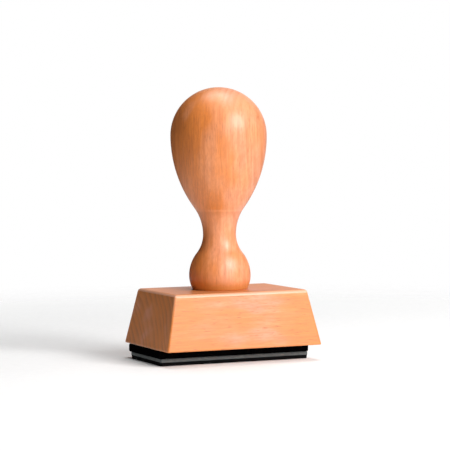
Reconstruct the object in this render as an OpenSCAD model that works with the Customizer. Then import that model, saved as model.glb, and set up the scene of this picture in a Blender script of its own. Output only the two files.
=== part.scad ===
// Wooden-handled rubber stamp, in millimetres.
// Origin: under the middle of the block, in the plane of the printing face. +Z points up the
// handle, +X runs along the length of the block. Stack from the bottom: rubber die, adhesive
// film, foam cushion, adhesive film, wooden block, turned handle. A wood screw, driven up
// through the block before the cushion goes on, holds the handle.

/* [Block] */
// Length of the block at its bottom
block_l = 60; // [52:1:80]
// Width of the block at its bottom
block_w = 43; // [37:1:60]
// Height of the block
block_h = 20; // [16:0.5:24]
// How far each short end of the block leans in on its way up
end_lean = 4.3; // [0:0.1:5]
// How far each long side of the block leans in on its way up
side_lean = 3.1; // [0:0.1:5]
// Bevel along the block's top edges
top_bevel = 0.9; // [0.1:0.1:2]
// Bevel along the block's bottom edges
foot_bevel = 0.4; // [0.1:0.1:1]

/* [Handle] */
// Height of the handle above the block
handle_h = 73.3; // [69:0.1:80]
// Largest diameter, where the dome meets the side
handle_d = 35; // [31:0.1:38]
// Radius of the long curve of the side, below the dome
side_r = 45; // [40:0.5:48]
// Diameter at the neck
neck_d = 12; // [10:0.1:13.5]
// Height of the neck above the block
neck_z = 20; // [18:0.1:21.5]
// Largest diameter of the bulb under the neck
bulb_d = 22.4; // [20:0.1:25]
// Height of the bulb's widest place above the block
bulb_z = 5; // [3.5:0.1:6]
// Radius of the curve above the bulb's widest place
bulb_r = 13.2; // [12:0.1:15]
// Radius of the curve below the bulb's widest place
foot_r = 10; // [7:0.1:12]
// How far along X the handle was screwed on from the block's middle
handle_x = -0.7; // [-2:0.1:2]

/* [Sole] */
// Length of the foam cushion
cushion_l = 58; // [50:0.5:60]
// Width of the foam cushion
cushion_w = 31; // [27:0.5:35]
// Thickness of the foam cushion
cushion_t = 2.8; // [2:0.1:5]
// How far the rubber is cut inside the cushion's edge
die_inset = 0.4; // [0:0.1:1.5]
// How far along X the rubber was stuck from the cushion's middle
die_x = 0.3; // [-0.4:0.1:0.4]
// Thickness of the rubber behind its relief
die_base_t = 1.3; // [0.8:0.1:2]
// Height of the relief
relief_t = 1.2; // [0.5:0.1:1.5]
// Thickness of each adhesive film
film_t = 0.1; // [0.05:0.01:0.3]
// How far along X the sole was stuck from the block's middle
sole_x = -1; // [-1.5:0.1:1.5]
// How far along Y the sole was stuck from the block's middle
sole_y = 1.4; // [-2:0.1:2]

/* [Screw] */
// Length of the wood screw, head included
screw_l = 40; // [36:1:44]
// Thread diameter
screw_d = 4; // [3:0.1:4.5]
// Head diameter
screw_head_d = 8; // [7:0.1:9]
// Distance between threads
thread_pitch = 2; // [1.5:0.1:2.5]
// Gap all round between the screw and the wood
screw_gap = 0.05; // [0.02:0.01:0.1]

/* [Hidden] */
$fn = 96;

// Heights of the stack, from the printing face up
die_top = relief_t + die_base_t;
cushion_z = die_top + film_t;
cushion_top = cushion_z + cushion_t;
block_z = cushion_top + film_t;
block_top = block_z + block_h;

// Sizes and middle of the rubber die, and the width of its outer frame and its fine lines
die_mid_x = sole_x + die_x;
die_l = cushion_l - 2 * die_inset;
die_w = cushion_w - 2 * die_inset;
frame_w = 1.4;
line_w = 0.8;
frame_gap = 1.6;
rows = 5;

// Centre heights of the handle's two swellings, and the two flares that join them to the neck
dome_z = handle_h - handle_d / 2;
upper_r = flare_radius(side_r, handle_d, dome_z);
lower_r = flare_radius(bulb_r, bulb_d, bulb_z);

// Screw: its core, its head and the hole that it leaves in the handle
screw_z = block_z + 0.1;
core_r = 0.7 * screw_d / 2;
head_r = screw_head_d / 2;
head_rim = 0.4;
shank_l = 0.4 * screw_l;
tip_l = 4;
hole_r = screw_d / 2 + screw_gap;
hole_end_gap = 0.8;
recess_w = 1;
recess_depth = 1.6;
eps = 0.01;

// Radius of the concave flare that is vertical at the neck and tangent to a swelling
function flare_radius(swell_r, swell_d, swell_z) =
    let (inset = swell_r - (swell_d - neck_d) / 2, rise = swell_z - neck_z)
    (inset * inset + rise * rise - swell_r * swell_r) / (2 * (swell_r - inset));

// Angle, seen from the swelling's centre, of the point where it meets its flare
function meet_angle(swell_r, flare_r, swell_z) = asin((neck_z - swell_z) / (swell_r + flare_r));

// Points along an arc, from angle a0 to angle a1
function arc(x, z, r, a0, a1, steps) =
    [for (i = [0:steps]) let (a = a0 + (a1 - a0) * i / steps) [x + r * cos(a), z + r * sin(a)]];

// Half outline of the handle, from the foot to the top of the dome
function handle_outline() =
    let (side_a = meet_angle(side_r, upper_r, dome_z),
         bulb_a = meet_angle(bulb_r, lower_r, bulb_z),
         neck_r = neck_d / 2,
         foot_a = -asin(bulb_z / foot_r))
    concat(
        [[0, 0]],
        arc(bulb_d / 2 - foot_r, bulb_z, foot_r, foot_a, -2, 7),
        arc(bulb_d / 2 - bulb_r, bulb_z, bulb_r, 0, bulb_a, 12),
        arc(neck_r + lower_r, neck_z, lower_r, 180 + 0.85 * bulb_a, 180, 8),
        arc(neck_r + upper_r, neck_z, upper_r, 178, 180 + side_a, 12),
        arc(handle_d / 2 - side_r, dome_z, side_r, 0.95 * side_a, 0, 20),
        arc(0, dome_z, handle_d / 2, 3, 87, 28),
        [[0, handle_h]]
    );

// A thin sheet of the sole, its middle at x along the length
module sheet(x, l, w, t, z) {
    translate([x - l / 2, sole_y - w / 2, z]) cube([l, w, t]);
}

// Outline of one pair of leaning sides, with bevelled top and bottom edges
module leaning_outline(bottom, lean) {
    low = bottom / 2;
    high = low - lean;
    polygon([
        [-low + foot_bevel, 0], [low - foot_bevel, 0], [low, foot_bevel],
        [high, block_h - top_bevel], [high - top_bevel, block_h],
        [-high + top_bevel, block_h], [-high, block_h - top_bevel], [-low, foot_bevel]
    ]);
}

// Rectangle with an open middle, its outside measured by l and w
module border(l, w, line) {
    difference() {
        square([l, w], center = true);
        square([l - 2 * line, w - 2 * line], center = true);
    }
}

// Rosette in the middle of the printing face
module rosette() {
    beads = 12;
    circle(r = 2.6);
    difference() {
        circle(r = 5.2);
        circle(r = 4.2);
    }
    for (i = [0:beads - 1]) rotate(i * 360 / beads) translate([7.6, 0]) circle(r = 1.2);
}

// Ruled lines on one side of the rosette, shorter towards the top and the bottom
module ruled_lines(start, end) {
    pitch = (die_w - 2 * (frame_w + frame_gap + line_w)) / (rows + 1);
    for (i = [0:rows - 1]) {
        offset_rows = i - (rows - 1) / 2;
        short = 1.2 * abs(offset_rows);
        translate([start + short, offset_rows * pitch - line_w / 2])
            square([end - start - 2 * short, line_w]);
    }
}

// Flat pattern of the printing face
module relief_pattern() {
    inner_l = die_l - 2 * (frame_w + frame_gap);
    inner_w = die_w - 2 * (frame_w + frame_gap);
    border(die_l, die_w, frame_w);
    border(inner_l, inner_w, line_w);
    rosette();
    for (side = [0, 1]) mirror([side, 0]) ruled_lines(11, inner_l / 2 - line_w - 1.8);
}

module rubber_die() {
    color("dimgray") {
        sheet(die_mid_x, die_l, die_w, die_base_t, relief_t);
        translate([die_mid_x, sole_y, 0]) linear_extrude(relief_t) relief_pattern();
    }
}

module die_adhesive() {
    color("gainsboro") sheet(die_mid_x, die_l, die_w, film_t, die_top);
}

module cushion() {
    color([0.1, 0.1, 0.1]) sheet(sole_x, cushion_l, cushion_w, cushion_t, cushion_z);
}

module block_adhesive() {
    color("gainsboro") sheet(sole_x, cushion_l, cushion_w, film_t, cushion_top);
}

module mount_block() {
    sink_z = screw_z + head_rim;
    color("burlywood") difference() {
        translate([0, 0, block_z]) intersection() {
            rotate([90, 0, 0])
                linear_extrude(block_w + 2, center = true) leaning_outline(block_l, end_lean);
            rotate([90, 0, 90])
                linear_extrude(block_l + 2, center = true) leaning_outline(block_w, side_lean);
        }
        translate([handle_x, 0, 0]) {
            translate([0, 0, block_z - 1]) cylinder(r = hole_r, h = block_h + 2);
            translate([0, 0, block_z - 1])
                cylinder(r = head_r + screw_gap, h = sink_z - block_z + 1 + eps);
            translate([0, 0, sink_z])
                cylinder(r1 = head_r + screw_gap, r2 = hole_r, h = head_r - screw_d / 2);
        }
    }
}

module handle_screw() {
    taper = head_r - screw_d / 2;
    threads = floor((screw_l - shank_l - tip_l) / thread_pitch);
    thread_z = screw_l - tip_l - threads * thread_pitch;
    color("silver") translate([handle_x, 0, screw_z]) difference() {
        rotate_extrude() polygon(concat(
            [[0, 0], [head_r, 0], [head_r, head_rim], [screw_d / 2, head_rim + taper],
             [screw_d / 2, shank_l]],
            [for (i = [0:threads - 1], k = [0:1])
                [k == 0 ? core_r : screw_d / 2, thread_z + (i + k / 2) * thread_pitch]],
            [[core_r, screw_l - tip_l], [0, screw_l]]
        ));
        for (turn = [0, 90]) rotate(turn)
            translate([-screw_d / 2, -recess_w / 2, -1])
                cube([screw_d, recess_w, recess_depth + 1]);
    }
}

module handle() {
    hole_depth = screw_z + screw_l + hole_end_gap - block_top;
    color("peru") translate([handle_x, 0, block_top]) difference() {
        rotate_extrude() polygon(handle_outline());
        translate([0, 0, -1]) cylinder(r = hole_r, h = hole_depth + 1);
    }
}

handle();
mount_block();
handle_screw();
block_adhesive();
cushion();
die_adhesive();
rubber_die();
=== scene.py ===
"""Looks of a wooden-handled rubber stamp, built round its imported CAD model. Lengths are in metres."""

from collections import namedtuple
from math import asin, ceil, cos, floor, pi, radians, sin, tau

import bmesh
import bpy
from mathutils import Matrix, Vector, noise


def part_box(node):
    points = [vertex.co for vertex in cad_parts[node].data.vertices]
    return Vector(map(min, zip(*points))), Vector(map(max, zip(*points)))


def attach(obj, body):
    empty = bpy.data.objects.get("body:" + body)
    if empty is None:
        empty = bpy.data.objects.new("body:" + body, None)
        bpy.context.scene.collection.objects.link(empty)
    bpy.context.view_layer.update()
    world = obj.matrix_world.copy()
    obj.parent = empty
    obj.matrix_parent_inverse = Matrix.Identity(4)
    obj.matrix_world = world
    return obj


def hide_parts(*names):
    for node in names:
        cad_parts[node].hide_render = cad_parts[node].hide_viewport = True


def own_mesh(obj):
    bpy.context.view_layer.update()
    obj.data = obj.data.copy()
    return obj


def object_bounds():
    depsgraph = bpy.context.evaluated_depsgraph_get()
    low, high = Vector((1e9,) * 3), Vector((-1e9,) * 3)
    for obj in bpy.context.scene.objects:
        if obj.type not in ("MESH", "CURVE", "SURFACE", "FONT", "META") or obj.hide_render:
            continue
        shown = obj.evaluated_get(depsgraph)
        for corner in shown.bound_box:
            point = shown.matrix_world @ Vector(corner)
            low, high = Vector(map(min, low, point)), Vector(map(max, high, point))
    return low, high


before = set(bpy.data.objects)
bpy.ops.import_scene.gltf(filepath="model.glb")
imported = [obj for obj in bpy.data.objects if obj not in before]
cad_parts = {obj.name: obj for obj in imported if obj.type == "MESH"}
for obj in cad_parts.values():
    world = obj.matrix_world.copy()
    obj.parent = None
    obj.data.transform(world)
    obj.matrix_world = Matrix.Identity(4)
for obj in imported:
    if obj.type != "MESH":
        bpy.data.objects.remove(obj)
cad_low, cad_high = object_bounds()

MM = 0.001

# ---------------------------------------------------------------- places, from the frame

block_low, block_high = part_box("mount_block")
handle_low, handle_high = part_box("handle")
screw_low, screw_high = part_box("handle_screw")
foam_low, foam_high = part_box("cushion")
die_low, die_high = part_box("rubber_die")

# The handle's axis, and its curves and lathe line as radii and heights above the block
AXIS = ((handle_low.x + handle_high.x) / 2, (handle_low.y + handle_high.y) / 2)
HANDLE_R = (handle_high.x - handle_low.x) / 2
HANDLE_H = handle_high.z - handle_low.z
DOME_Z = HANDLE_H - HANDLE_R
SIDE_R = 45 * MM
NECK_R = 6.0 * MM
NECK_Z = 20.0 * MM
BULB_R = 11.2 * MM
BULB_Z = 5.0 * MM
BULB_CURVE_R = 13.2 * MM
FOOT_CURVE_R = 10.0 * MM
FOOT_EDGE_R = 0.40 * MM
LATHE_LINE_Z = 28.3 * MM

# How far the block's ends and sides lean in, and the radii of its sanded edges: along the top of its
# sides and of its ends, up its corners and along its bottom
END_LEAN = 4.3 * MM
SIDE_LEAN = 3.1 * MM
TOP_EDGE_R = 1.3 * MM
END_EDGE_R = 0.9 * MM
CORNER_EDGE_R = 0.8 * MM
LOW_EDGE_R = 0.5 * MM

# The screw and its hole
THREAD_R = 2.0 * MM
CORE_R = 1.4 * MM
THREAD_PITCH = 2.0 * MM
HEAD_R = (screw_high.x - screw_low.x) / 2
HEAD_RIM = 0.4 * MM
SHANK_SHARE = 0.4
TIP_L = 4.0 * MM
RECESS_W = 1.0 * MM
RECESS_DEPTH = 1.6 * MM
HOLE_R = 2.05 * MM
HOLE_END_GAP = 0.8 * MM

# The printing face
RELIEF_T = 1.2 * MM
FRAME_W = 1.4 * MM
FRAME_GAP = 1.6 * MM
LINE_W = 0.8 * MM
LINE_ROWS = 5
LINES_START = 11 * MM
LINES_END_GAP = 1.8 * MM
LINE_SHORTENING = 1.2 * MM
ROSETTE_DOT_R = 2.6 * MM
ROSETTE_RING_R = 5.2 * MM
ROSETTE_HOLLOW_R = 4.2 * MM
BEADS = 12
BEAD_R = 1.2 * MM
BEAD_CIRCLE_R = 7.6 * MM


# ---------------------------------------------------------------- mesh helpers

def mesh_piece(name, verts, faces, smooth=True):
    """A new object holding one closed mesh, its normals facing out."""
    mesh = bpy.data.meshes.new(name)
    mesh.from_pydata(verts, [], faces)
    solid = bmesh.new()
    solid.from_mesh(mesh)
    bmesh.ops.recalc_face_normals(solid, faces=solid.faces)
    solid.to_mesh(mesh)
    solid.free()
    mesh.polygons.foreach_set("use_smooth", [smooth] * len(mesh.polygons))
    piece = bpy.data.objects.new(name, mesh)
    bpy.context.scene.collection.objects.link(piece)
    return piece


def arc(x, z, r, start, end, steps):
    """Points of an arc about (x, z), between two angles in radians."""
    turns = [start + (end - start) * i / steps for i in range(steps + 1)]
    return [(x + r * cos(a), z + r * sin(a)) for a in turns]


def ring(r, z, segments):
    """Points of a level circle about the handle's axis."""
    turns = [tau * i / segments for i in range(segments)]
    return [(AXIS[0] + r * cos(a), AXIS[1] + r * sin(a), z) for a in turns]


def lathe(outline, segments):
    """Vertices and faces of a solid turned about the handle's axis. The outline's ends lie on it."""
    rings = outline[1:-1]
    verts = [(*AXIS, outline[0][1]), (*AXIS, outline[-1][1])]
    for r, z in rings:
        verts += ring(r, z, segments)
    faces = []
    for i in range(segments):
        j = (i + 1) % segments
        last = 2 + (len(rings) - 1) * segments
        faces += [(0, 2 + j, 2 + i), (1, last + i, last + j)]
        for k in range(len(rings) - 1):
            a = 2 + k * segments
            faces.append((a + i, a + j, a + segments + j, a + segments + i))
    return verts, faces


def sweep(loops):
    """Vertices and faces that join loops of equal count, one above the next, with both ends closed."""
    count = len(loops[0])
    verts = [p for loop in loops for p in loop]
    faces = [tuple(range(count))[::-1], tuple(range(len(verts) - count, len(verts)))]
    for k in range(len(loops) - 1):
        a = k * count
        faces += [(a + i, a + (i + 1) % count, a + count + (i + 1) % count, a + count + i)
                  for i in range(count)]
    return verts, faces


def rounded_rectangle(length, width, corner, corner_steps=6, side_step=None):
    """Outline as (x, y, outward x, outward y) points, counterclockwise. side_step splits its sides."""
    outline = []
    for quarter in range(4):
        sx, sy = ((1, 1), (-1, 1), (-1, -1), (1, -1))[quarter]
        cx, cy = sx * (length / 2 - corner), sy * (width / 2 - corner)
        for i in range(corner_steps + 1):
            a = pi / 2 * (quarter + i / corner_steps)
            outline.append((cx + corner * cos(a), cy + corner * sin(a), cos(a), sin(a)))
        run = (length if quarter % 2 == 0 else width) - 2 * corner
        splits = floor(run / side_step) if side_step else 0
        x, y, nx, ny = outline[-1]
        for i in range(1, splits):
            outline.append((x - ny * run * i / splits, y + nx * run * i / splits, nx, ny))
    return outline


def ring_outline(radius, steps=64):
    """Outline of a circle, in the same form as rounded_rectangle's."""
    turns = [tau * i / steps for i in range(steps)]
    return [(radius * cos(a), radius * sin(a), cos(a), sin(a)) for a in turns]


def level(outline, grow, z, centre, ripple=None):
    """One loop of an outline at height z, moved outwards by grow, and by ripple(x, y, z) if given."""
    loop = []
    for x, y, nx, ny in outline:
        out = grow + (ripple(x, y, z) if ripple else 0)
        loop.append((centre[0] + x + nx * out, centre[1] + y + ny * out, z))
    return loop


def waver(place, size, depth):
    """How far a cut edge strays at a place, by up to about depth, in waves of about size."""
    return noise.noise(Vector(place) / size) * depth


def join(name, parts):
    """One object made of several closed meshes, each given as (vertices, faces)."""
    verts, faces = [], []
    for part_verts, part_faces in parts:
        start = len(verts)
        verts += part_verts
        faces += [tuple(start + i for i in face) for face in part_faces]
    return mesh_piece(name, verts, faces)


def apply_modifiers(piece):
    """Puts the result of the piece's modifiers into its mesh."""
    bpy.context.view_layer.update()
    shape = bpy.data.meshes.new_from_object(piece.evaluated_get(bpy.context.evaluated_depsgraph_get()))
    piece.modifiers.clear()
    piece.data = shape


def carve(piece, cutter):
    """Cuts the cutter out of the piece and removes it."""
    cut = piece.modifiers.new("cut", "BOOLEAN")
    cut.operation = "DIFFERENCE"
    cut.solver = "EXACT"
    cut.object = cutter
    apply_modifiers(piece)
    bpy.data.objects.remove(cutter)


def fit(piece, node, body, material):
    """Gives the piece its material and puts it in a CAD node's place."""
    piece.data.materials.clear()
    piece.data.materials.append(material)
    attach(piece, body)
    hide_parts(node)


# ---------------------------------------------------------------- node helpers

class Nodes:
    """Short calls for building one material's node tree."""

    def __init__(self, name):
        self.material = bpy.data.materials.new(name)
        self.material.use_nodes = True
        self.tree = self.material.node_tree
        self.shader = self.tree.nodes["Principled BSDF"]

    def add(self, kind, **values):
        node = self.tree.nodes.new("ShaderNode" + kind)
        for key, value in values.items():
            setattr(node, key, value)
        return node

    def put(self, socket, value):
        """Links a socket to another, or sets its value."""
        if isinstance(value, bpy.types.NodeSocket):
            self.tree.links.new(value, socket)
        else:
            socket.default_value = value

    def set(self, **values):
        """Sets or links the shader's own sockets, with _ for each space."""
        for key, value in values.items():
            self.put(self.shader.inputs[key.replace("_", " ")], value)

    def maths(self, operation, a, b=0.0, c=0.0):
        node = self.add("Math", operation=operation)
        for socket, value in zip(node.inputs, (a, b, c)):
            self.put(socket, value)
        return node.outputs[0]

    def vector(self, operation, a, b=(0, 0, 0), out=0):
        node = self.add("VectorMath", operation=operation)
        self.put(node.inputs[0], a)
        self.put(node.inputs[1], b)
        return node.outputs[out]

    def coordinates(self, what="Object"):
        return self.add("TexCoord").outputs[what]

    def split(self, vector):
        node = self.add("SeparateXYZ")
        self.put(node.inputs[0], vector)
        return node.outputs

    def combine(self, x, y, z):
        node = self.add("CombineXYZ")
        for socket, value in zip(node.inputs, (x, y, z)):
            self.put(socket, value)
        return node.outputs[0]

    def stretch(self, vector, sizes):
        """Coordinates in which one unit is sizes metres long."""
        return self.vector("MULTIPLY", vector, tuple(1 / s for s in sizes))

    def noise(self, vector, detail=2.0, roughness=0.5):
        node = self.add("TexNoise", noise_dimensions="3D")
        self.put(node.inputs["Vector"], vector)
        self.put(node.inputs["Scale"], 1.0)
        self.put(node.inputs["Detail"], detail)
        self.put(node.inputs["Roughness"], roughness)
        return node.outputs["Fac"]

    def spread(self, value, low, high, to_low=0.0, to_high=1.0, smooth=False):
        """Maps low..high onto to_low..to_high, and holds the ends."""
        node = self.add("MapRange", clamp=True)
        node.interpolation_type = "SMOOTHSTEP" if smooth else "LINEAR"
        for socket, given in zip(node.inputs, (value, low, high, to_low, to_high)):
            self.put(socket, given)
        return node.outputs["Result"]

    def ramp(self, value, stops):
        """A colour ramp from (place, colour) stops."""
        node = self.add("ValToRGB")
        marks = node.color_ramp.elements
        while len(marks) < len(stops):
            marks.new(0.5)
        for mark, (place, colour) in zip(marks, stops):
            mark.position = place
            mark.color = (*colour, 1)
        self.put(node.inputs[0], value)
        return node.outputs[0]

    def mix(self, share, a, b):
        node = self.add("Mix", data_type="RGBA")
        self.put(node.inputs[0], share)
        for socket, value in ((node.inputs[6], a), (node.inputs[7], b)):
            self.put(socket, value if isinstance(value, bpy.types.NodeSocket) else (*value, 1))
        return node.outputs[2]

    def bump(self, height, distance, strength):
        """A normal from a height of 0 to 1, distance metres deep."""
        node = self.add("Bump")
        self.put(node.inputs["Height"], height)
        self.put(node.inputs["Distance"], distance)
        self.put(node.inputs["Strength"], strength)
        return node.outputs[0]


# ---------------------------------------------------------------- materials

# A piece of beech. grain is the axis that its fibres follow, pith the place of the tree's middle
# across the grain, seed a shift of the pattern, and ring_w the width of a year. The six fields after
# ring_w say how strongly each shows, from 0 to 1: growth rings on the sides and on the ends, the ends'
# darker tone, long streaks, short dashes, and a painted highlight along the upward-facing rounded edges.
# drift is how far the tone wanders, and layer how many times thicker a streak is through the piece
# than it is wide.
Wood = namedtuple("Wood", "grain pith seed ring_w rings end_rings end_tint streaks dashes sanding drift "
                          "layer shades")
HANDLE_WOOD = Wood(
    grain="Z", pith=(-55 * MM, 24 * MM), seed=0.222, ring_w=2.2 * MM, rings=0.26, end_rings=0.30,
    end_tint=0.12, streaks=0.46, dashes=0.36, sanding=0.0, drift=0.6, layer=12,
    shades={
        "warm": (0.83, 0.250, 0.048), "plain": (0.87, 0.338, 0.150), "pale": (0.85, 0.336, 0.182),
        "late": (0.57, 0.165, 0.042), "light": (0.91, 0.405, 0.190), "fibre": (0.48, 0.125, 0.030),
        # The last shade on the next line is a painted contact shadow for the handle's foot
        "dash": (0.34, 0.090, 0.020), "end": (0.45, 0.170, 0.050), "joint": (0.58, 0.205, 0.030),
    })
BLOCK_WOOD = Wood(
    grain="X", pith=(56 * MM, -44 * MM), seed=0.118, ring_w=2.9 * MM, rings=0.16, end_rings=1.0,
    end_tint=0.26, streaks=0.56, dashes=0.65, sanding=0.7, drift=1.0, layer=1,
    shades={
        "warm": (0.72, 0.222, 0.041), "plain": (0.72, 0.242, 0.070), "pale": (0.745, 0.290, 0.165),
        "late": (0.57, 0.180, 0.048), "light": (0.85, 0.400, 0.185), "fibre": (0.48, 0.148, 0.040),
        # The last shade on the next line is a painted highlight for the upward-facing rounded edges
        "dash": (0.34, 0.100, 0.026), "end": (0.46, 0.205, 0.078), "painted_edge_highlight": (0.86, 0.47, 0.32),
    })

# What turning adds: the axis, the direction across the grain in which the streaks lie one behind the
# other, which is also the way towards the painted lit side, and the heights of the lathe crease, where
# a highlight and shade are painted, and of the handle's foot, above which a contact shadow is painted
Turning = namedtuple("Turning", "axis layers line_z joint_z")


def figure(n, place, width, length, layer=1, **detail):
    """Noise drawn out along the grain, and layer times thicker through the piece than across it."""
    return n.noise(n.stretch(place, (width, layer * width, length)), **detail)


def late_wood(n, wood, place, across):
    """How much of the dark late wood of a growth ring there is, darkest just before the year's end."""
    sway = figure(n, place, 14 * MM, 60 * MM, detail=1.0)
    from_pith = n.vector("LENGTH", n.vector("SUBTRACT", across, (*wood.pith, 0)), out=1)
    distance = n.maths("MULTIPLY_ADD", sway, 4 * MM, from_pith)
    slow = n.maths("MULTIPLY", distance, 1 / (7 * MM))
    unevenness = n.noise(n.combine(slow, wood.seed, 0.0), detail=1.0)
    rings = n.maths("MULTIPLY_ADD", distance, 1 / wood.ring_w, n.maths("MULTIPLY", unevenness, 1.6))
    year = n.maths("FRACT", rings)
    return n.maths("MULTIPLY", n.spread(year, 0.25, 0.88, smooth=True), n.spread(year, 0.88, 1.0, 1, 0))


def painted_crease_light(n, tone, shades, above, share):
    """A painted highlight along a crease left by the turning tool, clearest a little towards the lit
    side, and painted shade under it. above is the height over it.
    """
    half_w, clearest = 0.5 * MM, 0.11
    off_middle = n.maths("ABSOLUTE", n.maths("SUBTRACT", above, half_w))
    off_clearest = n.maths("ABSOLUTE", n.maths("SUBTRACT", share, clearest))
    clear = n.spread(off_clearest, 0.22, 0.55, 1.0, 0.2)
    line = n.maths("MULTIPLY", n.spread(off_middle, 0.0, half_w, 0.30, 0.0), clear)
    painted_shade_under = n.maths("MULTIPLY", n.spread(above, -2.4 * MM, -0.4 * MM, 0.0, 0.30, smooth=True),
                    n.spread(above, -0.2 * MM, 0.2 * MM, 1.0, 0.0))
    tone = n.mix(painted_shade_under, tone, shades["late"])
    return n.mix(line, tone, shades["light"])


def beech(name, wood, turning=None):
    """Lacquered beech. A turned piece is painted lighter in tone towards its lit side and darker and
    warmer towards its shaded side; any other is more pale in mid-length.
    """
    n = Nodes(name)
    shades = wood.shades
    x, y, z = n.split(n.coordinates())
    along, side, depth = (x, y, z) if wood.grain == "X" else (z, x, y)
    across = n.combine(side, depth, 0.0)
    normal = n.split(n.coordinates("Normal"))
    facing = n.maths("ABSOLUTE", normal["XYZ".index(wood.grain)])
    end = n.spread(facing, 0.66, 0.96, smooth=True)
    flank = n.spread(facing, 0.40, 0.90, 1.0, 0.0, smooth=True)
    shift = (wood.seed, 2 * wood.seed, 3 * wood.seed)
    straight = n.vector("ADD", n.combine(side, depth, along), shift)
    if turning:
        off_axis = n.vector("SUBTRACT", across, (*turning.axis, 0))
        over = n.vector("DOT_PRODUCT", off_axis, (*turning.layers, 0), out=1)
        into = n.vector("DOT_PRODUCT", off_axis, (-turning.layers[1], turning.layers[0], 0), out=1)
        layered = n.vector("ADD", n.combine(over, into, along), shift)
        share = n.maths("DIVIDE", over, n.maths("ADD", n.vector("LENGTH", off_axis, out=1), 3 * MM))
        # Painted light and shade: more pale towards the lit side, darker and warmer towards the shaded
        # side
        lit_side_and_mid_tone = n.spread(share, -0.75, 0.70, -0.19, 0.09)
    else:
        layered = straight
        lit_side_and_mid_tone = n.spread(n.maths("ABSOLUTE", along), 4 * MM, 26 * MM, 0.06, -0.13)

    # Slow changes of tone, the painted lit and shaded sides of a turned piece, and the growth rings
    drift = n.spread(figure(n, straight, 9 * MM, 24 * MM), 0.0, 1.0, 0.5 - 0.5 * wood.drift,
                     0.5 + 0.5 * wood.drift)
    tone = n.ramp(n.maths("ADD", drift, lit_side_and_mid_tone),
                  ((0.38, shades["warm"]), (0.50, shades["plain"]), (0.62, shades["pale"])))
    patchy = n.spread(figure(n, straight, 7 * MM, 20 * MM, detail=1.0), 0.34, 0.62, 0.25, 1.0)
    strength = n.maths("MULTIPLY", n.spread(end, 0.0, 1.0, wood.rings, wood.end_rings), patchy)
    rings = n.maths("MULTIPLY", late_wood(n, wood, straight, across), strength)
    tone = n.mix(rings, tone, shades["late"])
    tone = n.mix(n.maths("MULTIPLY", rings, n.maths("MULTIPLY", end, 0.3)), tone, shades["dash"])

    # Long streaks, fine fibres, flecks and rays, which all fade on the ends
    streaks = figure(n, layered, 1.2 * MM, 18 * MM, wood.layer, detail=3.0, roughness=0.55)
    fibres = figure(n, layered, 0.45 * MM, 8 * MM, wood.layer)
    flecks = figure(n, straight, 0.9 * MM, 2.4 * MM, roughness=0.6)
    rays = figure(n, layered, 0.42 * MM, 3.4 * MM, wood.layer, detail=1.0)
    dashes = n.maths("MULTIPLY", n.spread(rays, 0.60, 0.78, smooth=True), flank)
    for share_of_tone, shade in (
            (n.spread(streaks, 0.47, 0.72, 0.0, wood.streaks), "late"),
            (n.spread(streaks, 0.45, 0.25, 0.0, 0.5 * wood.streaks), "light"),
            (n.spread(fibres, 0.48, 0.72, 0.0, 0.36), "fibre"),
            (n.spread(flecks, 0.42, 0.66, 0.0, 0.30), "late")):
        tone = n.mix(n.maths("MULTIPLY", share_of_tone, flank), tone, shades[shade])
    tone = n.mix(n.maths("MULTIPLY", dashes, wood.dashes), tone, shades["dash"])
    tone = n.mix(n.maths("MULTIPLY", end, wood.end_tint), tone, shades["end"])

    if turning:
        # Painted highlight and shade of the lathe crease
        tone = painted_crease_light(n, tone, shades, n.maths("SUBTRACT", along, turning.line_z), share)
        # Painted contact shadow on the handle's foot, fading out by 4 mm above where it meets the block
        painted_contact_shade = n.spread(n.maths("SUBTRACT", along, turning.joint_z), 0.4 * MM, 3.9 * MM, 0.80, 0.0,
                            smooth=True)
        tone = n.mix(painted_contact_shade, tone, shades["joint"])
    # A painted highlight on the rounded edges that face partly upwards
    if wood.sanding:
        upward = normal[2]
        edge = n.maths("MULTIPLY", n.spread(upward, 0.26, 0.46, smooth=True),
                       n.spread(upward, 0.80, 0.98, 1.0, 0.0))
        tone = n.mix(n.maths("MULTIPLY", edge, wood.sanding), tone, shades["painted_edge_highlight"])

    pores = figure(n, straight, 0.14 * MM, 1.6 * MM, detail=1.0)
    height = n.maths("MULTIPLY_ADD", fibres, 0.6, n.maths("MULTIPLY", pores, 0.4))
    n.set(Base_Color=tone, Roughness=n.spread(fibres, 0.3, 0.7, 0.42, 0.52),
          Normal=n.bump(height, 0.03 * MM, 0.30), Specular_IOR_Level=0.6, Coat_Weight=0.27,
          Coat_Roughness=0.30)
    return n.material


def foam_material():
    """Black closed-cell foam: matt, with fine cells on its cut sides."""
    n = Nodes("black_foam")
    place = n.coordinates()
    cells = n.add("TexVoronoi", feature="F1")
    n.put(cells.inputs["Vector"], n.stretch(place, (0.32 * MM,) * 3))
    n.put(cells.inputs["Scale"], 1.0)
    grain = n.noise(n.stretch(place, (1.6 * MM,) * 3), detail=4.0, roughness=0.6)
    colour = n.mix(n.spread(grain, 0.35, 0.7), (0.0008, 0.0007, 0.0010), (0.0026, 0.0023, 0.0027))
    normal = n.bump(cells.outputs["Distance"], 0.12 * MM, 0.7)
    n.set(Base_Color=colour, Roughness=n.spread(grain, 0.3, 0.7, 0.86, 0.98), Normal=normal,
          Specular_IOR_Level=0.0)
    return n.material


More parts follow.
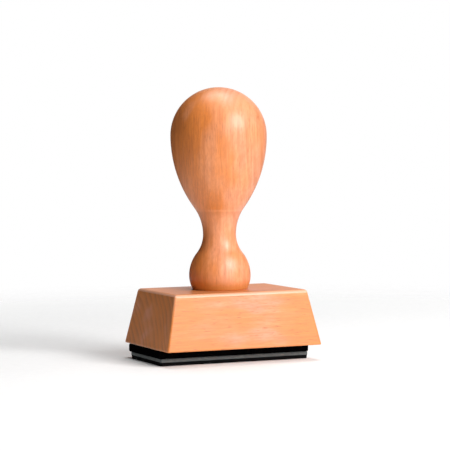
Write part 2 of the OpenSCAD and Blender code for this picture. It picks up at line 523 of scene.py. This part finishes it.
def die_material():
    """Grey moulded rubber, stained black by ink from the printing face up, less so in its recesses."""
    n = Nodes("stamp_rubber")
    place = n.coordinates()
    height = n.split(place)[2]
    mottle = n.noise(n.stretch(place, (1.8 * MM, 1.8 * MM, 0.5 * MM)), detail=4.0, roughness=0.6)
    rubber = n.mix(n.spread(mottle, 0.3, 0.7), (0.100, 0.116, 0.120), (0.175, 0.190, 0.188))
    edge = n.maths("MULTIPLY_ADD", mottle, 0.30 * MM, RELIEF_T - 0.10 * MM)
    ink = n.spread(n.maths("SUBTRACT", height, edge), -0.05 * MM, 0.12 * MM, 1.0, 0.0)
    down = n.maths("MULTIPLY", n.split(n.coordinates("Normal"))[2], -1.0)
    recess = n.maths("MULTIPLY", n.spread(down, 0.5, 0.9), n.spread(height, 0.3 * MM, 0.6 * MM))
    ink = n.maths("MULTIPLY", ink, n.maths("MULTIPLY_ADD", recess, -0.7, 1.0))
    colour = n.mix(ink, rubber, (0.0015, 0.0015, 0.0020))
    fine = n.noise(n.stretch(place, (0.25 * MM,) * 3), detail=3.0)
    dull = n.maths("MULTIPLY_ADD", ink, 0.30, n.spread(mottle, 0.3, 0.7, 0.42, 0.58))
    n.set(Base_Color=colour, Roughness=dull, Specular_IOR_Level=0.10,
          Normal=n.bump(fine, 0.03 * MM, 0.4))
    return n.material


def film_material():
    """Clear adhesive film, slightly yellow."""
    n = Nodes("adhesive_film")
    streak = n.noise(n.stretch(n.coordinates(), (6 * MM, 0.8 * MM, 1 * MM)), detail=2.0)
    colour = n.mix(n.spread(streak, 0.3, 0.7), (0.52, 0.50, 0.42), (0.66, 0.64, 0.56))
    n.set(Base_Color=colour, Roughness=n.spread(streak, 0.3, 0.7, 0.3, 0.5),
          Normal=n.bump(streak, 0.02 * MM, 0.3))
    return n.material


def steel_material():
    """Zinc-plated steel, with rolling marks round the screw."""
    n = Nodes("plated_steel")
    place = n.coordinates()
    marks = n.noise(n.stretch(place, (1.2 * MM, 1.2 * MM, 0.12 * MM)), detail=3.0)
    cloud = n.noise(n.stretch(place, (2.5 * MM,) * 3), detail=2.0)
    colour = n.mix(n.spread(cloud, 0.3, 0.7), (0.50, 0.50, 0.49), (0.66, 0.66, 0.63))
    n.set(Base_Color=colour, Metallic=1.0, Roughness=n.spread(marks, 0.3, 0.7, 0.26, 0.42),
          Normal=n.bump(marks, 0.02 * MM, 0.3))
    return n.material


# ---------------------------------------------------------------- pieces

def flare(swell_curve, swell_r, swell_z):
    """Radius of the concave curve from the neck to a swelling, and the angle at which they meet."""
    inset = swell_curve - swell_r + NECK_R
    rise = swell_z - NECK_Z
    r = (inset ** 2 + rise ** 2 - swell_curve ** 2) / (2 * (swell_curve - inset))
    return r, asin((NECK_Z - swell_z) / (swell_curve + r))


def handle_outline():
    """Half outline of the handle above the block: up its screw hole, then its outside to the dome."""
    upper, side_a = flare(SIDE_R, HANDLE_R, DOME_Z)
    lower, bulb_a = flare(BULB_CURVE_R, BULB_R, BULB_Z)
    foot_a = -asin((BULB_Z - FOOT_EDGE_R) / FOOT_CURVE_R)
    foot_x, foot_z = arc(BULB_R - FOOT_CURVE_R, BULB_Z, FOOT_CURVE_R, foot_a, 0, steps=1)[0]
    hole_top = screw_high.z + HOLE_END_GAP - handle_low.z
    hole = [(0, hole_top), (HOLE_R * 0.9, hole_top), (HOLE_R, hole_top - 0.2 * MM)]
    hole_steps, mouth = 12, 0.3 * MM
    hole += [(HOLE_R, hole_top * i / hole_steps) for i in range(hole_steps - 1, 0, -1)]
    hole += [(HOLE_R, mouth), (HOLE_R + mouth, 0), (foot_x - 1.5 * FOOT_EDGE_R, 0)]
    outside = arc(foot_x - FOOT_EDGE_R, foot_z, FOOT_EDGE_R, -pi / 2, foot_a, steps=4)
    outside += arc(BULB_R - FOOT_CURVE_R, BULB_Z, FOOT_CURVE_R, foot_a, 0, steps=12)[1:]
    outside += arc(BULB_R - BULB_CURVE_R, BULB_Z, BULB_CURVE_R, 0, bulb_a, steps=24)[1:]
    outside += arc(NECK_R + lower, NECK_Z, lower, pi + bulb_a, pi, steps=14)[1:]
    outside += arc(NECK_R + upper, NECK_Z, upper, pi, pi + side_a, steps=24)[1:]
    outside += arc(HANDLE_R - SIDE_R, DOME_Z, SIDE_R, side_a, 0, steps=40)[1:]
    outside += arc(0, DOME_Z, HANDLE_R, 0, pi / 2, steps=48)[1:-1]
    return hole + outside + [(0, HANDLE_H)]


def turned_handle():
    """The handle, hollow where its screw goes."""
    outline = [(r, z + handle_low.z) for r, z in handle_outline()]
    return mesh_piece("turned_handle", *lathe(outline, segments=192))


def beech_block():
    """The block: leaning sides, rounded edges, and a countersunk hole through its middle."""
    half_l, half_w = (block_high.x - block_low.x) / 2, (block_high.y - block_low.y) / 2
    base, middle = block_low.z, (block_low.z + block_high.z) / 2
    corners = []
    for side, z in ((0, base), (1, block_high.z)):
        for sx, sy in ((-1, -1), (1, -1), (1, 1), (-1, 1)):
            corners.append((sx * (half_l - side * END_LEAN), sy * (half_w - side * SIDE_LEAN), z))
    faces = [(3, 2, 1, 0), (4, 5, 6, 7)] + [(i, (i + 1) % 4, 4 + (i + 1) % 4, 4 + i) for i in range(4)]
    piece = mesh_piece("beech_block", corners, faces, smooth=False)

    mesh = piece.data
    weights = mesh.attributes.new("bevel_weight_edge", "FLOAT", "EDGE")
    for edge in mesh.edges:
        start, end = (mesh.vertices[v].co for v in edge.vertices)
        if start.z > middle and end.z > middle:
            radius = TOP_EDGE_R if start.x != end.x else END_EDGE_R
        else:
            radius = LOW_EDGE_R if start.z == end.z else CORNER_EDGE_R
        weights.data[edge.index].value = radius / TOP_EDGE_R
    rounding = piece.modifiers.new("rounding", "BEVEL")
    rounding.width = TOP_EDGE_R
    rounding.segments = 6
    rounding.limit_method = "WEIGHT"
    apply_modifiers(piece)
    smallest_flat = 200 * MM * MM
    for face in piece.data.polygons:
        face.use_smooth = face.area < smallest_flat

    sink = screw_low.z + HEAD_RIM
    head_hole_r, depth = HEAD_R + HOLE_R - THREAD_R, HEAD_R - THREAD_R
    hole = [(0, base - MM), (head_hole_r, base - MM), (head_hole_r, sink), (HOLE_R, sink + depth),
            (HOLE_R, block_high.z + MM), (0, block_high.z + MM)]
    carve(piece, mesh_piece("hole", *lathe(hole, segments=96), smooth=False))
    return piece


def thread_height(z, turn, start, end):
    """Share of the full thread height at a height z and an angle of turn revolutions."""
    half_ridge, run_out_turns = 0.30, 1.5
    place = (z - start) / THREAD_PITCH - turn
    across = abs(place - floor(place) - 0.5)
    ridge = max(0.0, 1 - across / half_ridge)
    run_in = min(1.0, max(0.0, (z - start) / THREAD_PITCH))
    run_out = min(1.0, max(0.0, (end - z) / (run_out_turns * THREAD_PITCH)))
    return ridge * run_in * run_out


def wood_screw():
    """Countersunk wood screw with a helical thread and a cross recess."""
    bottom, top = screw_low.z, screw_high.z
    cone_top = bottom + HEAD_RIM + HEAD_R - THREAD_R
    shank_top = bottom + SHANK_SHARE * (top - bottom)
    segments, step = 72, THREAD_PITCH / 20
    rim_edge, shank_end, tip_end = 0.1 * MM, 0.5 * MM, 0.02 * MM
    plain = [(HEAD_R - rim_edge, bottom), (HEAD_R, bottom + rim_edge), (HEAD_R, bottom + HEAD_RIM),
             (THREAD_R, cone_top), (THREAD_R, shank_top - shank_end), (CORE_R, shank_top)]
    heights = [shank_top + step * i for i in range(1, ceil((top - shank_top) / step))]
    heights = [z for z in heights if z < top - tip_end]
    rows = [ring(r, z, segments) for r, z in plain]
    for z in heights:
        core = CORE_R * min(1.0, (top - z) / TIP_L)
        row = []
        for i in range(segments):
            a = tau * i / segments
            r = core + (THREAD_R - CORE_R) * thread_height(z, i / segments, shank_top, top)
            row.append((AXIS[0] + r * cos(a), AXIS[1] + r * sin(a), z))
        rows.append(row)
    verts, faces = sweep(rows)
    tip = len(verts)
    verts.append((*AXIS, top))
    last = tip - segments
    faces[1:2] = [(last + i, last + (i + 1) % segments, tip) for i in range(segments)]
    piece = mesh_piece("wood_screw", verts, faces)
    for turn in (0, pi / 2):
        carve(piece, recess_bar(turn, bottom))
    return piece


def recess_bar(turn, bottom):
    """One bar of the screw's cross recess, narrowing as it goes in."""
    spin = Matrix.Rotation(turn, 3, "Z")
    loops = []
    for z, reach in ((bottom - MM, 1.0), (bottom, 1.0), (bottom + RECESS_DEPTH, 0.55)):
        corners = [(sx * THREAD_R * reach, sy * RECESS_W / 2, z)
                   for sx, sy in ((-1, -1), (1, -1), (1, 1), (-1, 1))]
        loops.append([tuple(spin @ Vector(c) + Vector((*AXIS, 0))) for c in corners])
    return mesh_piece("bar", *sweep(loops), smooth=False)


def foam_cushion():
    """Foam slab, cut by hand: its sides are a little uneven and belly out under the block's weight."""
    length, width = foam_high.x - foam_low.x, foam_high.y - foam_low.y
    centre = ((foam_low.x + foam_high.x) / 2, (foam_low.y + foam_high.y) / 2)
    outline = rounded_rectangle(length, width, corner=0.35 * MM, side_step=0.45 * MM)
    bottom, thick = foam_low.z, foam_high.z - foam_low.z
    edge, bulge, levels = 0.18 * MM, 0.10 * MM, 12

    def cut(x, y, z):
        cells = waver((x, y, z), size=0.7 * MM, depth=0.035 * MM)
        blade = waver((x, y, 0), size=9 * MM, depth=0.06 * MM)
        return cells + blade

    loops = [level(outline, -edge, bottom, centre)]
    for i in range(levels + 1):
        share = i / levels
        belly = bulge * sin(pi * share)
        loops.append(level(outline, belly, bottom + edge + (thick - 2 * edge) * share, centre, cut))
    loops.append(level(outline, -edge, bottom + thick, centre))
    return mesh_piece("foam_cushion", *sweep(loops))


def raised(outline, centre, inner=None):
    """One raised shape of the die, widening slightly towards its root. inner makes it a ring."""
    root, draft, edge = RELIEF_T + 0.05 * MM, 0.14 * MM, 0.06 * MM
    section = ((draft, root), (0.02 * MM, 0.35 * MM), (0.0, edge), (-edge, 0.0))
    loops = [level(outline, grow, z, centre) for grow, z in section]
    if inner is None:
        return sweep(loops[::-1])
    loops += [level(inner, -grow, z, centre) for grow, z in section[::-1]]
    verts, faces = sweep(loops)
    count = len(outline)
    last = (len(loops) - 1) * count
    faces[0:2] = [(last + i, last + (i + 1) % count, (i + 1) % count, i) for i in range(count)]
    return verts, faces


def moulded_die():
    """Rubber die: its base, a double border, ruled lines and a rosette."""
    length, width = die_high.x - die_low.x, die_high.y - die_low.y
    cx, cy = (die_low.x + die_high.x) / 2, (die_low.y + die_high.y) / 2

    def cut(x, y, z):
        return waver((x, y, 30 * MM), size=7 * MM, depth=0.06 * MM)

    base_outline = rounded_rectangle(length, width, corner=0.3 * MM, side_step=0.8 * MM)
    base = [level(base_outline, grow, z, (cx, cy), cut) for grow, z in (
        (-0.16 * MM, RELIEF_T), (-0.05 * MM, RELIEF_T + 0.06 * MM), (0.0, RELIEF_T + 0.2 * MM),
        (0.0, die_high.z - 0.12 * MM), (-0.10 * MM, die_high.z))]
    parts = [sweep(base)]

    def border(l, w, line, corner):
        outer = rounded_rectangle(l, w, corner, corner_steps=8)
        hollow = rounded_rectangle(l - 2 * line, w - 2 * line, max(corner - line, 0.2 * MM),
                                   corner_steps=8)
        parts.append(raised(outer, (cx, cy), hollow))

    trim = 0.06 * MM
    border(length - 2 * trim, width - 2 * trim, FRAME_W - trim, corner=0.9 * MM)
    inner_l, inner_w = length - 2 * (FRAME_W + FRAME_GAP), width - 2 * (FRAME_W + FRAME_GAP)
    border(inner_l, inner_w, LINE_W, corner=0.3 * MM)

    parts.append(raised(ring_outline(ROSETTE_DOT_R), (cx, cy)))
    parts.append(raised(ring_outline(ROSETTE_RING_R), (cx, cy), ring_outline(ROSETTE_HOLLOW_R)))
    bead = ring_outline(BEAD_R, steps=32)
    for i in range(BEADS):
        a = tau * i / BEADS
        parts.append(raised(bead, (cx + BEAD_CIRCLE_R * cos(a), cy + BEAD_CIRCLE_R * sin(a))))

    pitch = (width - 2 * (FRAME_W + FRAME_GAP + LINE_W)) / (LINE_ROWS + 1)
    end = inner_l / 2 - LINE_W - LINES_END_GAP
    for row in range(LINE_ROWS):
        rise = row - (LINE_ROWS - 1) / 2
        line_l = end - LINES_START - 2 * LINE_SHORTENING * abs(rise)
        line = rounded_rectangle(line_l, LINE_W, corner=0.2 * MM, corner_steps=4)
        for way in (-1, 1):
            parts.append(raised(line, (cx + way * (LINES_START + end) / 2, cy + rise * pitch)))
    return join("moulded_die", parts)


def film_sheet(name, node):
    """Adhesive film, cut a hair inside the sheet that it holds."""
    low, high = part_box(node)
    length, width, inset = high.x - low.x, high.y - low.y, 0.35 * MM
    centre = ((low.x + high.x) / 2, (low.y + high.y) / 2)
    outline = rounded_rectangle(length, width, corner=0.5 * MM, side_step=1.5 * MM)

    def cut(x, y, z):
        return waver((x, y, 0), size=5 * MM, depth=0.1 * MM)

    edge = 0.02 * MM
    loops = [level(outline, -inset + grow, z, centre, cut) for grow, z in (
        (-edge, low.z), (0, low.z + edge), (0, high.z - edge), (-edge, high.z))]
    return mesh_piece(name, *sweep(loops))


# ---------------------------------------------------------------- camera, light and floor

VIEW_TURN = radians(23.4)
VIEW_DROP = radians(2.61)
VIEW_ROLL = radians(-0.54)
VIEW_DISTANCE = 0.75
VIEW_LENS = 164.8
AIM_ABOVE_BLOCK_FOOT = 30 * MM
AIM_RIGHT = 1.40 * MM
AIM_UP = 13.22 * MM

# The floor, and the distances from its middle between which it fades out
FLOOR_R = 0.4
FADE_START = 0.09
FADE_END = 0.38


def make_camera():
    """A long lens, low and to the left of the front, looking slightly down."""
    forward = Vector((sin(VIEW_TURN) * cos(VIEW_DROP), cos(VIEW_TURN) * cos(VIEW_DROP),
                      -sin(VIEW_DROP)))
    right = Vector((cos(VIEW_TURN), -sin(VIEW_TURN), 0))
    up = right.cross(forward)
    target = Vector((0, 0, block_low.z + AIM_ABOVE_BLOCK_FOOT)) + right * AIM_RIGHT + up * AIM_UP
    rolled_right = right * cos(VIEW_ROLL) + up * sin(VIEW_ROLL)
    rolled_up = up * cos(VIEW_ROLL) - right * sin(VIEW_ROLL)
    camera = bpy.data.objects.new("camera", bpy.data.cameras.new("camera"))
    camera.data.lens = VIEW_LENS
    camera.data.sensor_width = 36
    camera.data.clip_start = 0.01
    camera.data.clip_end = 20
    turn = Matrix((rolled_right, rolled_up, -forward)).transposed().to_4x4()
    camera.matrix_world = Matrix.Translation(target - forward * VIEW_DISTANCE) @ turn
    bpy.context.scene.collection.objects.link(camera)
    bpy.context.scene.camera = camera


def area_light(name, bearing, height, distance, size, power):
    """A square soft light on the stamp. Seen from above, bearing runs anticlockwise from the front."""
    centre = (cad_low + cad_high) / 2
    a, e = radians(bearing), radians(height)
    towards = Vector((sin(a) * cos(e), -cos(a) * cos(e), sin(e)))
    light = bpy.data.objects.new(name, bpy.data.lights.new(name, "AREA"))
    light.data.shape = "SQUARE"
    light.data.size = size
    light.data.energy = power
    light.location = centre + towards * distance
    light.rotation_mode = "QUATERNION"
    light.rotation_quaternion = (-towards).to_track_quat("-Z", "Y")
    light.visible_camera = False
    bpy.context.scene.collection.objects.link(light)


def make_world():
    """White as a backdrop, dim as a light."""
    world = bpy.data.worlds.new("studio")
    bpy.context.scene.world = world
    world.use_nodes = True
    tree = world.node_tree
    backdrop = tree.nodes["Background"]
    backdrop.inputs["Color"].default_value = (1, 1, 1, 1)
    backdrop.inputs["Strength"].default_value = 1.0
    dim = tree.nodes.new("ShaderNodeBackground")
    dim.inputs["Color"].default_value = (1.0, 0.97, 0.92, 1)
    dim.inputs["Strength"].default_value = 0.042
    choose = tree.nodes.new("ShaderNodeMixShader")
    path = tree.nodes.new("ShaderNodeLightPath")
    tree.links.new(path.outputs["Is Camera Ray"], choose.inputs[0])
    tree.links.new(dim.outputs[0], choose.inputs[1])
    tree.links.new(backdrop.outputs[0], choose.inputs[2])
    tree.links.new(choose.outputs[0], tree.nodes["World Output"].inputs[0])


def make_floor():
    """A pale round floor that fades into the backdrop."""
    n = Nodes("pale_floor")
    away = n.vector("LENGTH", n.coordinates(), out=1)
    paper = n.noise(n.stretch(n.coordinates(), (3 * MM,) * 3), detail=3.0)
    colour = n.mix(n.spread(paper, 0.3, 0.7), (0.90, 0.90, 0.90), (0.93, 0.93, 0.93))
    n.set(Base_Color=colour, Roughness=0.9, Specular_IOR_Level=0.2,
          Alpha=n.spread(away, FADE_START, FADE_END, 1.0, 0.0, smooth=True))
    rings, segments = 8, 96
    verts = [(0, 0, cad_low.z)]
    faces = []
    for k in range(1, rings + 1):
        r = FLOOR_R * k / rings
        verts += [(r * cos(tau * i / segments), r * sin(tau * i / segments), cad_low.z)
                  for i in range(segments)]
    for i in range(segments):
        j = (i + 1) % segments
        faces.append((0, 1 + i, 1 + j))
        for k in range(rings - 1):
            a, b = 1 + k * segments, 1 + (k + 1) * segments
            faces.append((a + i, b + i, b + j, a + j))
    mesh = bpy.data.meshes.new("floor")
    mesh.from_pydata(verts, [], faces)
    mesh.materials.append(n.material)
    floor_piece = bpy.data.objects.new("floor", mesh)
    bpy.context.scene.collection.objects.link(floor_piece)


# ---------------------------------------------------------------- the scene

make_camera()
make_world()
make_floor()
area_light("key", bearing=26, height=32, distance=0.9, size=0.42, power=8.5)
area_light("top", bearing=152, height=77, distance=0.9, size=0.45, power=4.2)
area_light("right", bearing=80, height=20, distance=0.9, size=0.6, power=1.0)
area_light("front", bearing=-3, height=13, distance=0.9, size=0.6, power=3.2)
area_light("back", bearing=150, height=12, distance=1.0, size=0.7, power=1.0)

film = film_material()
turning = Turning(axis=AXIS, layers=(0.92, -0.40), line_z=handle_low.z + LATHE_LINE_Z,
                  joint_z=handle_low.z)
fit(turned_handle(), "handle", "grip", beech("handle_beech", HANDLE_WOOD, turning))
fit(beech_block(), "mount_block", "block", beech("block_beech", BLOCK_WOOD))
fit(wood_screw(), "handle_screw", "screw", steel_material())
fit(film_sheet("block_film", "block_adhesive"), "block_adhesive", "block", film)
cushion = foam_cushion()
fit(cushion, "cushion", "sole", foam_material())
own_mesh(cushion)
fit(film_sheet("die_film", "die_adhesive"), "die_adhesive", "sole", film)
fit(moulded_die(), "rubber_die", "sole", die_material())

bpy.context.scene.view_settings.view_transform = "Standard"
